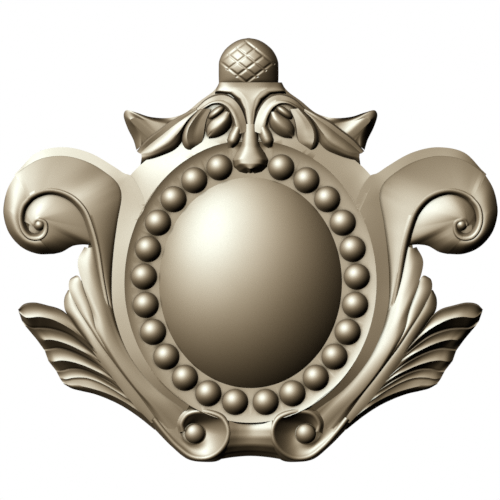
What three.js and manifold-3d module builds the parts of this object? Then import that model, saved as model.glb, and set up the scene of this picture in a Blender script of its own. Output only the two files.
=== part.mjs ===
// Cartouche: a carved wall ornament cast in one piece. Millimetres, +Z up, the front faces -Y,
// the flat back lies in the plane y = 0 and the origin is on it behind the middle of the dome.
import * as THREE from 'three';
import { mergeVertices } from 'three/addons/utils/BufferGeometryUtils.js';
import Module from 'manifold-3d';

const wasm = await Module();
wasm.setup();

// Overall sizes
const WIDTH = 300; // over the two volutes
const RELIEF = 20; // from the back to the highest carved ridge, the dome excepted
const EDGE = 3.6; // thickness left along the outline
// The carving is free-form and is drawn on squared paper: a point is [column, row, height].
// Columns and rows are counted from the upper left corner, heights in twentieths of RELIEF.
const SHEET_COLUMNS = 494.3; // squares across the full width
const AXIS = 250.5; // column of the line of symmetry
const CENTRE = 282.8; // row of the middle of the dome
const SQUARE = WIDTH / SHEET_COLUMNS;
const RISE = RELIEF / 20;
const RIM = EDGE / RISE;
// Medallion
const DOME_WIDTH = 0.3702 * WIDTH;
const DOME_LENGTH = 0.4264 * WIDTH;
const DOME_RISE = 22.5; // above the floor of the channel
const DOME_SINK = 29; // the middle of its rounding lies that much below the channel floor
const BEAD = 0.0536 * WIDTH; // diameter of a bead
const BEAD_SINK = 2.6; // a bead's middle above the floor of the channel
const BEAD_GAP = 1.1; // between the dome and the beads
const BEADS_PER_SIDE = 12;
const BEAD_TOP_SPACE = 0.0637 * WIDTH; // along the ring, from the axis to the first bead
const BEAD_FOOT_SPACE = 0.0314 * WIDTH; // the same at the bottom
const CHANNEL_FLOOR = 18.4; // above the back
const BEVEL_WIDTH = 4.8;
const BEVEL_HEIGHT = 1.5; // top of the bevel above the channel floor
const BEVEL_LIFT = 1.8; // the bevel's oval is that much longer towards the crest
const LAP = 1; // how far neighbouring pieces reach into each other sideways
const BURIED = 3; // how far parts that stand on others reach down into them
const SPARE = 2; // every piece is made that much too deep, then the back is cut flat
const CLOSE_UP = 0.1; // where pieces are joined, edges shorter than this are closed up
// Ground under the carving, seen only at the bottom of the creases
const GROUND_HEIGHT = 3.4;
const GROUND = [[104, 188], [92, 222], [86, 262], [76, 300], [70, 326], [72, 352], [86, 372], [112, 386],
  [142, 412], [168, 434], [196, 452], [230, 450]];
const GROUND_TURNS = [140, 156, 166, 176, 186, 196, 206, 216, 226, 236, 246, 256]; // places on the oval, in degrees
const VOLUTE_GROUND = [50, 204, 41, 43]; // middle column and row, half width and half height
const PLATE_TURNS = [241, 224, 208, 193, 180.5, 167, 155, 147]; // the plate's inner edge on the oval, in degrees
const THROAT_TURNS = [150, 134, 120, 104, 84]; // the same for the throat
// Outer edge of the plate beside the medallion, going on as the ridge inside the strip of the volute
const RIDGE = [[186, 411, 18], [155, 387.5, 17.8], [128, 352.5, 18.2], [113.5, 310, 18.2], [111.8, 281, 17.9],
  [113.8, 250, 17.6], [117.5, 222, 17.5], [121.6, 196, 17.6], [119.4, 186.5, 17.4], [114.8, 180, 17],
  [106, 172.8, 16], [90, 163, 13.8], [65, 156, 10.8], [40, 159, 8.6], [20.6, 170.8, 6],
  [16.2, 175.6, 5]];
// Outer edge of the strip, from the neck to the left end
const STRIP = [[131, 176, 17.6], [124, 173.2, 16.9], [114, 166.6, 15.8], [90, 153, 12.8], [64, 147.2, 9.6],
  [37, 152.4, 7], [19.4, 169.6, 5], [14.4, 174.4, 4.4]];
// Band of the volute: along the ridge, and the outer foot of the spiral cord
const HOLLOW = [[114.6, 311, 11.4], [112.8, 281, 9.2], [114.8, 250, 7.8], [118.5, 222, 7.4],
  [122.4, 196, 8.2], [120, 185.5, 9.4], [115, 179, 10.4], [106, 171.8, 11], [90, 162, 11.6],
  [65, 155, 10.2], [40, 158, 8], [19.6, 169.6, 5.4], [14.8, 174.2, 4.6]];
const SPIRAL = [[110.5, 310, 12.8], [105, 281, 12.4], [99.5, 247, 12.6], [94.5, 228, 12.8], [88, 211, 12.6],
  [81, 201.5, 12], [73, 194.8, 11], [62, 189.8, 10.2], [50.5, 188, 9.6], [40, 189.8, 9.2],
  [31, 194, 9], [26.5, 197.6, 9.2]];
const HOLLOW_SAG = [0.6, 0.8, 0.6, 0.2, 0, -0.2, -0.3, -0.3, 0, 0.8];
// Second part: round the left end and under the eye
const TIP_EDGE = [[16.8, 173, 4.8], [8, 188, RIM + 0.4], [4, 203, RIM], [3.5, 215, RIM], [9, 233, RIM],
  [22, 247.5, RIM], [38, 254, RIM], [54, 254, RIM]];
const TIP_SPIRAL = [[27.3, 197, 9.1], [21, 204.6, 9.8], [18, 214, 10.2], [18.2, 224, 10.4], [22, 233.5, 10.6],
  [28, 239.3, 10.8], [34.5, 241, 11], [40, 240.5, 11.2]];
const TIP_SAG = [0.8, 2.2, 2.4, 2.4];
// Third part: the shell inside the cord's first turn, and the cord's last turn round the eye
const SHELL_EDGE = [[54, 254, RIM], [62, 252, RIM + 0.5], [73, 246, 5.2], [82, 244.6, 5.9], [97, 244, 7.4],
  [92.5, 228, 8.4], [81, 209.5, 8.2], [66, 197.5, 7], [50, 193.3, 6.2], [34, 198, 4.8],
  [24, 208, 4.2], [20.6, 219, 4.6]];
const SHELL_SPIRAL = [[40, 240.5, 11.2], [44.5, 237.8, 11.4], [47.6, 233, 11.6], [48.5, 227, 11.8],
  [47.4, 222, 12], [44.6, 219.3, 12], [41, 218, 12], [38, 217.6, 11.8], [35, 219, 11.4],
  [33.2, 221.5, 11], [32.4, 224, 10.8], [32.6, 226, 10.6]];
const SHELL_SAG = [1.6, 1.6, 1.2, 1, 1, 1.4, 1.6, 1.6, 1.2, 1];
const CORD_WIDTH = 3;
const CORD_RISE = 0.9; // above the foot on its outer side
const CORD_DROP = 4; // from its crown into the crease on its inner side
const CREASE_WIDTH = 1.7;
const CORD_TAIL_DROP = 1.8; // from its crown to its foot
const CORD_TAIL = [[122, 348, 16.4, 1.4], [113.5, 325, 14.6, 1.8], [109.8, 306, 13, 1.9]];
const EYE_SIZE = 7.2;
const POCKET = [39.6, 228, 6]; // floor of the hollow round the eye
const POCKET_SIZE = 13;
const POCKET_RISE = 0.4;
const EYE_RISE = 4.4;
const EYE_SPOT = [39.6, 225, 9];
// Throat between the plate and the crest
const THROAT_TOP = [[127, 179, 17.5], [139.3, 166, 15.4], [160, 150, 13.8], [200, 126, 12.4], [260, 119, 12.6]];
// Stem between the volute and the leaves
const STEM_RIGHT = [[99.5, 246, 8.4], [105.5, 275, 9.4], [111, 302, 11.6], [117.5, 326, 14], [127, 345, 15.2],
  [141, 365, 15.6], [159, 385.5, 15.6], [176, 400, 15.6], [192, 411, 15]];
const STEM_RIDGE = [[93, 247, 9.8], [98.6, 275, 11.4], [105, 300, 13.4], [112.6, 324, 15.4],
  [121.6, 344.6, 16.4], [135.6, 365.6, 16.6], [153, 387.6, 16.2], [169, 402.6, 15.6], [185, 419, 13.8]];
const STEM_CROWN = [[88, 248, 9.6], [88.6, 268, 12], [94.4, 296, 14.4], [102, 322, 17.2], [108, 344, 18.2],
  [121, 367, 17.8], [139, 391, 16.6], [155, 407.6, 15.4], [174, 429, 12.8]];
const STEM_LEFT = [[84.4, 247, 7], [77.8, 261, 8.6], [82.6, 284, 12], [92.4, 313, 14.8], [97, 332, 16.4],
  [112.4, 359.6, 16.4], [131, 385, 15.4], [147, 404, 14.4], [163, 428, 12.4]];
const STEM_SAG = [0.2, 0.4, 0.4];
// Three small leaves
const SMALL_LEAF_SAG = [0.6, 1.2, 1, 0.6, 0.2];
const LEAVES = [
  [[[75.4, 275.6, 6], [70, 279.4, 7], [69, 289, 8.8], [78, 308, 12], [87.4, 323.6, 14.6],
  [98.6, 342, 15.8], [117, 367.6, 15.2], [138, 394, 14.4], [157, 420, 12.6]],
  [[77.5, 275.4, 8], [80, 278, 9.6], [84, 290, 10.8], [91, 308, 13.2], [98, 330, 15.4],
  [110, 350, 16.4], [126, 372, 16], [144, 396, 15], [161, 421, 12.8]]],
  [[[68, 290, 5], [64.4, 298, 5.6], [65, 310, 7], [74, 323.4, 9.8], [84, 338, 12.6],
  [93, 351.6, 14.4], [110, 374.6, 14.4], [131, 401.4, 13.4], [151.4, 423, 11.6]],
  [[69.8, 290, 7], [72, 295.6, 8.6], [77, 307, 10.4], [85.6, 321.6, 13.2], [95, 335.4, 15],
  [106.4, 351, 15.6], [121, 371.6, 15.2], [141, 395.6, 13.8], [159, 421, 12]]],
];
// Wing of five overlapping feathers, its rails from the top edge to the outline below
const WING = [
  [[18, 309.5, 8], [24, 304, 8], [34, 302.4, 9.5], [48, 305.4, 11], [60, 309, 12], [68, 315, 13],
  [78, 329, 14], [97, 352, 14]],
  [[18.5, 310, 11.6], [24.6, 305.6, 14.6], [34, 303.9, 16.4], [48, 306.9, 17], [60, 310.6, 17],
  [68.4, 316.6, 16.8], [78.6, 330, 16.4], [97.4, 352.6, 15.4]],
  [[18.8, 312, 10.4], [26, 317.4, 13.8], [39, 316.8, 15.8], [51, 319, 16.4], [63, 324.4, 16.6],
  [73, 330.6, 16.4], [82, 338, 16.2], [98, 354.5, 15]],
  [[22, 321, 5.4], [32, 327.4, 7], [39, 327.6, 8.4], [49.6, 328.2, 9.4], [61, 331, 10.6],
  [72.4, 336, 12.2], [84, 344.6, 13.6], [104, 362, 14]],
  [[25, 325.6, 7], [32.6, 329, 10.2], [40, 329.2, 11.8], [50, 330, 12.6], [61, 332.8, 13.4],
  [72, 337.6, 14.2], [84, 345.8, 14.8], [104, 362.6, 14.2]],
  [[36.6, 339.4, 6], [43, 340, 10], [50, 339.6, 11.2], [60, 341.6, 12.2], [70, 345.2, 13.2],
  [80, 350, 14], [89, 354.8, 14.6], [108, 368, 14.2]],
  [[44, 349.6, 4.6], [50.4, 348.6, 5.8], [57.6, 347.8, 6.6], [66.6, 349.4, 7.6], [78.4, 353.8, 9.4],
  [90, 359.8, 11.4], [102, 367.8, 13.2], [121, 385, 13]],
  [[44.8, 350.8, 5.6], [51, 350.4, 8.2], [58, 349.6, 9.4], [67, 351, 10.4], [78.4, 355.2, 11.6],
  [90, 361, 13], [102, 368.7, 13.6], [121, 385.6, 13.2]],
  [[48.4, 361, 5], [54, 361.4, 8], [61, 360.4, 9.2], [71, 361.6, 10.2], [84, 365.6, 11.4],
  [95, 370.4, 12.4], [105, 375.5, 13.2], [124, 389, 13]],
  [[56, 370.6, 4.2], [62.4, 370.4, 4.4], [69.6, 368.6, 5], [80.4, 368.8, 6.2], [92.4, 372.6, 8],
  [105, 379, 10.6], [118, 387.4, 12], [137, 402.5, 12]],
  [[56.6, 371.8, 5], [62.6, 372, 6.2], [70, 370.2, 7.2], [80.6, 370.4, 8.4], [92.4, 374, 9.8],
  [105, 380.2, 11.4], [118, 388.2, 12.4], [137, 403, 12.2]],
  [[60, 378.4, 4.6], [66, 379, 6.2], [74, 377.6, 7.2], [86, 377.8, 8.2], [98, 381.6, 9.6],
  [112, 388.8, 11], [128, 399.4, 12.2], [149.5, 417, 11]],
  [[60.8, 379.6, 4.4], [66.6, 380.6, 5.6], [74.6, 379.2, 6.6], [86.4, 379.6, 7.6], [98.4, 383.4, 9],
  [112.4, 390.2, 10.4], [128.4, 400.6, 11.6], [150, 418, 10.4]],
  [[63, 382.6, 4.6], [70, 385.4, 6], [80, 386, 7], [92, 388.6, 8], [106, 393, 9.2],
  [120, 399.4, 10.4], [135, 408.8, 11.4], [154, 423.6, 9.6]],
  [[64, 384.2, RIM], [72, 388.6, RIM], [82, 391.2, RIM], [94, 394, RIM], [108, 399.2, RIM],
  [122, 406, RIM], [137, 415.8, RIM], [155, 430, RIM]],
];
const FEATHER_SAG = [0, -0.9, 0, 0, -0.7, 0, 0, -0.6, 0, 0, -0.4, 0, -0.1, 0.6];
// Lower scroll: foot of the lip, crown of the lip, and the line round the eye
const SCROLL_FOOT = [[146, 419.5, RIM], [157, 431.6, RIM], [172, 446.8, RIM], [188, 459.3, RIM],
  [204, 462, RIM], [219, 460.4, 7], [231, 447, 15.5], [233.5, 431, 18], [228, 416, 17],
  [212, 408.6, 17], [197, 407.6, 16.6], [184, 411.5, 15.6], [177.3, 422, 14], [178.6, 434, 12.6]];
const SCROLL_LIP = [[154, 418.5, 14], [164.5, 432, 13.8], [178, 446.8, 13.4], [192, 456.8, 13.6],
  [206, 458.2, 14.8], [218, 452.6, 17.4], [226.3, 442, 20], [228.3, 430, 21], [222.8, 418.6, 20.6],
  [211, 413, 20], [198, 411.6, 19], [187, 415.2, 17.4], [181.6, 424, 15.8], [183, 431.6, 14.6]];
const SCROLL_EYE = [[176, 419, 14], [179, 430, 13], [183, 439, 12.4], [190, 444.3, 12], [198, 444.2, 11.8],
  [204, 440.2, 11.6], [206.2, 434.5, 11.4], [205.2, 429, 11.4], [201, 425, 11.6], [195, 423.2, 12],
  [189.6, 424.3, 12.6], [186, 427.3, 13.2], [184.4, 430, 13.8], [184.2, 432.4, 14]];
const BELL_SAG = [0, -0.8, -1.2, -1.4, -1, -0.4, 0];
// Saddle between the two scrolls, the left half of each rail
const SADDLE = [
  [[224, 415.8, 16], [236, 415.4, 14.8], [250.5, 415.3, 14]],
  [[229, 421, 20], [240, 421, 17.4], [250.5, 421, 16]],
  [[229.6, 429, 21], [240, 429, 18.8], [250.5, 429, 17.8]],
  [[229, 437, 20.6], [240, 437, 18.8], [250.5, 437, 18.1]],
  [[224, 447, 18.8], [238, 445.5, 17.4], [250.5, 445, 17]],
  [[215, 456.4, 13.4], [235, 452.2, 14], [250.5, 451.2, 13.6]],
  [[212, 460.8, RIM], [232, 457.4, RIM], [250.5, 456, RIM]],
];
const LIP_WIDTH = 3;
const LIP_RISE = 0.7; // crown of the lip above its edges
const SCROLL_EYE_FLOOR = [195, 433.6, 10.2];
const SCROLL_EYE_SIZE = 12.4;
const SCROLL_EYE_RISE = 4.8;
const SCROLL_HOLLOW_SIZE = 15; // floor round the eye
const SCROLL_HOLLOW_RISE = 0.9;
// Crest: its rounded outer slope, the floor inside it and the forms that lie on the floor
const CREST_OUTLINE = [[219, 84, 6], [213.5, 91, 8], [200, 101, 9.4], [185, 113, 11.4], [170, 117.8, 13.6],
  [150, 116.8, 14], [136, 112.4, 12], [126, 110.4, 8], [123.6, 115, 6], [127.5, 128, 5],
  [133.4, 140, 6], [136.4, 150, 7]];
const CREST_BROW = [[234, 98, 16], [222, 106, 16], [207, 114, 16], [192, 121, 16], [175, 123.5, 13.6],
  [158, 123, 12.6], [146, 121, 13.2], [135, 117.8, 15], [130.6, 119.8, 14.8], [136.6, 128, 13.8],
  [141.6, 136, 12.6], [142.6, 145, 11]];
const CREST_FLOOR = [[254, 138, 14], [240, 146, 14], [222, 142, 14], [200, 142, 13.6], [186, 142, 13.6],
  [176, 142, 13.4], [169, 142, 13], [163, 143, 12.6], [158, 145, 12.2], [154, 148, 11.4],
  [151, 151, 11], [148, 154, 10]];
const BROW_SAG = [1.4, 1.4, 1.2, 0.4, -0.5, -0.4, 0.8, 1.8, 1.6, 1.6];
const CREST_BED = [
  [[222, 85, 10], [250.5, 85, 10]],
  [[217, 93, 11], [250.5, 93, 11]],
  [[205, 103, 12.6], [250.5, 103, 12.6]],
  [[197, 125, 13], [250.5, 125, 13]],
  [[197, 150, 13], [250.5, 150, 13]],
];
const FRONT_LEAF = [
  [[136.8, 151, 10], [146.4, 139.8, 13], [160.4, 128.8, 14.4], [171.4, 120.6, 15.2],
  [183, 114.4, 15.8], [196, 107.4, 15]],
  [[137.6, 152, 13.4], [147.4, 141.2, 15.8], [161.2, 130.4, 17], [172, 122.4, 17.8],
  [183.6, 116.2, 18], [196.4, 109, 16.4]],
  [[139.6, 153.4, 13.6], [150.6, 144, 15.2], [163.2, 134.2, 16.6], [174, 125.6, 17.6],
  [185, 117.8, 17.8], [196.8, 110, 16.4]],
  [[141.4, 154, 14.8], [150.4, 152.6, 17.6], [161.6, 147, 19.4], [171, 141, 20], [179, 131.8, 19.8],
  [187.6, 119.8, 19], [197, 111, 16.8]],
  [[141.6, 157.6, 15], [151.2, 156, 17.2], [163.4, 150.8, 18.4], [174.6, 144.6, 18.4],
  [181.6, 133.2, 18], [188.6, 121, 17.6], [197.4, 111.6, 16]],
  [[140.4, 165.4, 12], [151.4, 160.8, 13.4], [164.8, 156.6, 13.8], [177, 151, 14], [182.8, 143, 13.4],
  [185, 131, 13], [190, 121, 13], [198, 112, 13.4]],
];
const LEAF_SAG = [0, 0, [0.2, 0.8, 0.8, 0.3, 0], 0, 0.3];
const ARCH = [
  [[196, 108, 13], [205, 99.6, 13.2], [212.8, 95.2, 13.4], [222.4, 93.4, 13.6], [232.4, 96.4, 14],
  [239.6, 103.4, 14.4], [244.4, 112, 15], [247, 121, 16], [248.4, 131, 18.6]],
  [[196.4, 109, 15.4], [205.6, 100.8, 17.6], [213.4, 96.8, 18.6], [222.4, 95.2, 19],
  [231.4, 98, 19.2], [238.2, 104.6, 19.6], [242.8, 112.8, 20], [245.6, 121.6, 20.6],
  [247.4, 131, 21.2]],
  [[197, 111, 15.8], [205, 105, 17.8], [213, 101, 18.8], [222, 100.2, 19.2], [229, 103, 19.8],
  [234, 109, 20.6], [237.5, 116, 21.2], [240.5, 124, 21.8], [242.5, 133, 22]],
  [[197.5, 112.4, 16.4], [205.4, 107, 18.8], [213, 103.2, 20], [221, 103.2, 20.4], [227.4, 107, 20.8],
  [231.4, 112.6, 21.2], [234.4, 119, 21.8], [236.2, 127, 22.2], [238, 134, 22]],
  [[198, 114, 14], [206, 109.4, 14], [213, 105.6, 14], [219.6, 105.6, 14], [225, 109.4, 14],
  [229, 114.6, 14.4], [232, 121, 15], [234, 128, 16], [236, 135, 17]],
];
const DROP = [[239.6, 120, 20.6, 3.4], [238, 128, 22.6, 5], [235, 136, 24, 6.4], [232.6, 142, 24, 6],
  [230.6, 147.4, 21, 3]];
const DROP_RISE = 5.4;
const SPOON = [
  [[198, 108.6, 14], [189, 119, 14.6], [183.6, 129, 15], [182, 140, 15], [184, 148.6, 14.6],
  [189.4, 152.8, 14]],
  [[199, 109.6, 16.6], [190.4, 120, 18.8], [185.2, 129.6, 19.6], [183.6, 139.8, 19.4],
  [185.8, 147.4, 18.4], [190, 151.8, 16.4]],
  [[203, 108.4, 18.8], [193.6, 119.8, 20.8], [188.2, 129.4, 21.4], [187, 138.6, 21.2],
  [188.8, 144.8, 20.4], [191, 150.4, 17.8]],
  [[207, 109, 18], [199, 120, 19.2], [195.4, 129.8, 19.4], [194.4, 137.4, 19.4], [194, 143.8, 19],
  [192.4, 150, 17.4]],
  [[211, 109, 17.6], [206.4, 119, 18.4], [204.4, 128, 18.6], [203.2, 137, 18], [200.4, 145.4, 17],
  [194, 151, 15.6]],
  [[212, 110.4, 13], [208, 119.4, 13], [206, 129, 13.4], [205, 140.4, 13.8], [201.6, 148.4, 14],
  [194.6, 152.8, 14]],
];
const BEAN = [
  [[205.8, 136, 13], [206, 128, 13.4], [210, 120.6, 13.4], [217, 115.4, 13.6], [224.6, 110, 14]],
  [[207, 135.6, 17.4], [207.4, 128.4, 18.4], [211.2, 121.8, 19.4], [217.8, 116.8, 19.6],
  [225, 111.4, 18.6]],
  [[208.4, 135.6, 18.6], [213, 130.4, 21.6], [219.6, 125.4, 22.8], [225.4, 119, 22.4],
  [229, 112, 19.6]],
  [[208.8, 138.6, 17.4], [217.6, 137, 18.4], [226, 131.6, 18.6], [231, 122.6, 18.4],
  [231.2, 113, 17.4]],
  [[208.8, 140.6, 12.6], [218, 139.6, 12.6], [227.4, 133.4, 13], [232.8, 123.4, 13.4],
  [232.6, 113, 13.6]],
];
const SPOON_SAG = [0, 0.3, 0, 0, 0];
const BEAN_SAG = [0, 0.7, 0.9, 0];
const LOBE = [216.6, 112.4, 15.4]; // middle of the small lobe above the bean
const LOBE_WIDTH = 12.4;
const LOBE_HEIGHT = 5.4;
const LOBE_RISE = 5;
const LOBE_TURN = 0.66;
const FUNNEL = [
  [[220.6, 82.8, 4], [216.8, 87, 5], [214.8, 94, 10], [228.6, 95.2, 12.4], [238, 101, 12.8],
  [243.6, 110.6, 13], [247.2, 130, 13]],
  [[219.6, 82.4, 11.6], [218.6, 86.4, 12.4], [216, 91.4, 13.8], [230, 92.4, 16.8],
  [239.6, 98.6, 18.4], [245, 109, 19.4], [248.4, 130, 20.8]],
  [[230, 82.4, 16.6], [230.4, 86.4, 16.4], [231, 88.6, 16.7], [239, 91, 17.8], [245.4, 99, 19.2],
  [248.2, 112, 20.2], [249.4, 130, 21.4]],
  [[250.5, 82.4, 17.6], [250.5, 87, 17.4], [250.5, 92, 17.8], [250.5, 98, 18.9], [250.5, 105, 20],
  [250.5, 116, 20.6], [250.5, 130, 21.6]],
];
// Pendant over the rim of the medallion, the left half of each rail
const PENDANT = [
  [[242.8, 124, 14], [244.6, 124, 19.4], [246.6, 124, 20.8], [250.5, 124, 21.2]],
  [[241.4, 136, 15], [243.4, 136, 20], [246.2, 136, 21.8], [250.5, 136, 22.4]],
  [[239.6, 146, 16], [242, 146.4, 20.4], [245.4, 147, 22.8], [250.5, 147, 23.4]],
  [[234.6, 153, 17], [237.6, 153.4, 20.2], [243, 153.4, 23.4], [250.5, 153, 24.2]],
  [[231.6, 160, 17.4], [234.6, 160, 20.4], [239.8, 159, 23.8], [250.5, 158.6, 24.8]],
  [[232.6, 167.4, 17.4], [235.8, 166.2, 20], [240.8, 163.8, 24.2], [250.5, 163.8, 25.4]],
  [[238.4, 172.8, 17.4], [240.6, 170.6, 19.8], [245.6, 167.8, 24], [250.5, 168.4, 25.2]],
  [[246, 175, 17.4], [246.6, 173.6, 18.4], [248.4, 172.6, 19], [250.5, 173.4, 19]],
];
// Finial: half width and crown height by row
const FINIAL_AXIS = 248.6; // it leans a little to the left of the line of symmetry
const FINIAL = [[38, 0.6, 5], [39.5, 8.5, 8], [43.5, 16.5, 11.6], [51, 24.6, 15.4], [61, 29.4, 18],
  [69, 29.9, 18.4], [77, 29.9, 17.2], [83.4, 29.7, 15.4]];

const spot = ([column, row, height]) =>
  new THREE.Vector3((column - AXIS) * SQUARE, -height * RISE, (CENTRE - row) * SQUARE);
const spline = (points) => new THREE.CatmullRomCurve3(points, false, 'centripetal');
const mix = (a, b, s) => a + (b - a) * s;

// A value that runs along a list: a number stays the same, a list is passed through evenly.
function along(value, t) {
  if (!Array.isArray(value)) return value;
  const p = t * (value.length - 1);
  const i = Math.min(Math.floor(p), value.length - 2);
  return mix(value[i], value[i + 1], p - i);
}

// Closed solid from points and faces, in the modelling kernel's form.
function solid(points, faces) {
  let geometry = new THREE.BufferGeometry();
  geometry.setAttribute('position', new THREE.Float32BufferAttribute(points.flatMap((p) => [p.x, p.y, p.z]), 3));
  geometry.setIndex(faces.flat());
  geometry = mergeVertices(geometry, 1e-4);
  const at = geometry.getAttribute('position');
  const index = geometry.getIndex().array;
  const whole = [];
  let volume = 0;
  const [a, b, c] = [new THREE.Vector3(), new THREE.Vector3(), new THREE.Vector3()];
  for (let i = 0; i < index.length; i += 3) {
    const [p, q, r] = [index[i], index[i + 1], index[i + 2]];
    if (p === q || q === r || r === p) continue;
    whole.push(p, q, r);
    volume += a.fromBufferAttribute(at, p).dot(b.fromBufferAttribute(at, q).cross(c.fromBufferAttribute(at, r)));
  }
  if (volume < 0) whole.reverse();
  return new wasm.Manifold(new wasm.Mesh({
    numProp: 3, vertProperties: new Float32Array(at.array), triVerts: new Uint32Array(whole), tolerance: CLOSE_UP,
  }));
}

// Relief over a grid of points, with straight walls down to the height floor above the back.
function block(rows, floor) {
  const n = rows.length;
  const m = rows[0].length;
  const under = n * m;
  const points = [...rows.flat(), ...rows.flat().map((p) => new THREE.Vector3(p.x, -floor, p.z))];
  const faces = [];
  for (let i = 0; i < n - 1; i++) {
    for (let j = 0; j < m - 1; j++) {
      const [a, b, c, d] = [i * m + j, (i + 1) * m + j, (i + 1) * m + j + 1, i * m + j + 1];
      const short = points[a].distanceTo(points[c]) < points[b].distanceTo(points[d]);
      const pair = short ? [[a, b, c], [a, c, d]] : [[a, b, d], [b, c, d]];
      for (const [p, q, r] of pair) faces.push([p, q, r], [under + r, under + q, under + p]);
    }
  }
  const rim = [];
  for (let j = 0; j < m - 1; j++) rim.push(j);
  for (let i = 0; i < n - 1; i++) rim.push(i * m + m - 1);
  for (let j = m - 1; j > 0; j--) rim.push((n - 1) * m + j);
  for (let i = n - 1; i > 0; i--) rim.push(i * m);
  rim.forEach((p, k) => {
    const q = rim[(k + 1) % rim.length];
    faces.push([p, q, under + q], [p, under + q, under + p]);
  });
  return solid(points, faces);
}

// Surface carried by two or more rails; sag lifts or hollows the span between each two rails.
function loft(rails, { steps, across = 1, sag = 0, floor = -SPARE }) {
  const curves = rails.map((rail) => spline(rail.map(spot)));
  const sags = Array.isArray(sag) ? sag : curves.map(() => sag);
  const rows = [];
  for (let i = 0; i <= steps; i++) {
    const t = i / steps;
    const knots = curves.map((curve) => curve.getPoint(t));
    const row = [];
    for (let k = 0; k < knots.length - 1; k++) {
      const parts = along(sags[k], 0.5) === 0 && !Array.isArray(sags[k]) ? 1 : across;
      for (let j = 0; j < parts; j++) {
        const s = j / parts;
        const p = knots[k].clone().lerp(knots[k + 1], s);
        p.y -= along(sags[k], t) * RISE * 4 * s * (1 - s);
        row.push(p);
      }
    }
    row.push(knots[knots.length - 1]);
    rows.push(row);
  }
  return block(rows, floor);
}

// Rounded roll along a line of [column, row, height, half width]; drop is crown to foot.
function roll(line, { steps, across = 4, drop, floor = -SPARE }) {
  const curve = spline(line.map(spot));
  const rows = [];
  for (let i = 0; i <= steps; i++) {
    const t = i / steps;
    const middle = curve.getPoint(t);
    const ahead = curve.getPoint(Math.min(1, t + 0.004)).sub(curve.getPoint(Math.max(0, t - 0.004)));
    const side = new THREE.Vector3(ahead.z, 0, -ahead.x).normalize();
    const half = along(line.map((p) => p[3]), t) * SQUARE;
    const row = [];
    for (let j = 0; j <= across; j++) {
      const turn = Math.PI * j / across;
      const p = middle.clone().addScaledVector(side, -Math.cos(turn) * half);
      p.y += along(drop, t) * RISE * (1 - Math.sin(turn));
      row.push(p);
    }
    rows.push(row);
  }
  return block(rows, floor);
}

// Heap of closed rings, the lowest first: ring(turn) gives a point; the last ring closes on a point.
function heap(rings, crown, segments, floor) {
  const points = [];
  const faces = [];
  for (let k = 0; k < segments; k++) {
    const p = rings[0](2 * Math.PI * k / segments);
    points.push(new THREE.Vector3(p.x, -floor, p.z));
  }
  for (const ring of rings) for (let k = 0; k < segments; k++) points.push(ring(2 * Math.PI * k / segments));
  const top = points.push(crown) - 1;
  const base = points.push(new THREE.Vector3(crown.x, -floor, crown.z)) - 1;
  for (let k = 0; k < segments; k++) {
    const next = (k + 1) % segments;
    for (let r = 0; r < rings.length; r++) {
      const [a, b] = [r * segments + k, r * segments + next];
      faces.push([a, b, b + segments], [a, b + segments, a + segments]);
    }
    faces.push([rings.length * segments + k, rings.length * segments + next, top], [next, k, base]);
  }
  return solid(points, faces);
}

// Cap of an ellipsoid: middle, half sizes, rise and a turn in the plane, standing at a height.
function mound(middle, halfX, halfZ, rise, { segments, levels, floor = -SPARE, turn = 0, start = 0 }) {
  const rings = [];
  for (let l = 0; l < levels; l++) {
    const up = mix(start, Math.PI / 2, l / levels);
    rings.push((around) => {
      const [x, z] = [Math.cos(around) * Math.cos(up) * halfX, Math.sin(around) * Math.cos(up) * halfZ];
      return new THREE.Vector3(middle.x + x * Math.cos(turn) - z * Math.sin(turn),
        middle.y - rise * Math.sin(up), middle.z + x * Math.sin(turn) + z * Math.cos(turn));
    });
  }
  return heap(rings, new THREE.Vector3(middle.x, middle.y - rise, middle.z), segments, floor);
}

// Ovals of the medallion, half sizes in millimetres
const domeX = DOME_WIDTH / 2;
const domeZ = DOME_LENGTH / 2;
const ringX = domeX + BEAD_GAP + BEAD / 2;
const ringZ = domeZ + BEAD_GAP + BEAD / 2;
const channelX = ringX + BEAD / 2;
const channelZ = ringZ + BEAD / 2;
const bevelX = channelX + BEVEL_WIDTH;
const bevelZ = channelZ + BEVEL_WIDTH;
const bevelTop = CHANNEL_FLOOR + BEVEL_HEIGHT;

// Point of the bevel's edge on the squared paper, counter-clockwise from the right, in degrees
function bevelSpot(degrees, height = bevelTop / RISE) {
  const turn = THREE.MathUtils.degToRad(degrees);
  const tall = bevelZ + (Math.sin(turn) > 0 ? BEVEL_LIFT : 0);
  return [AXIS + Math.cos(turn) * (bevelX - LAP) / SQUARE, CENTRE - Math.sin(turn) * (tall - LAP) / SQUARE, height];
}

const whole = []; // pieces drawn over the full width
const halves = []; // pieces of the left half, repeated mirrored on the right

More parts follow.
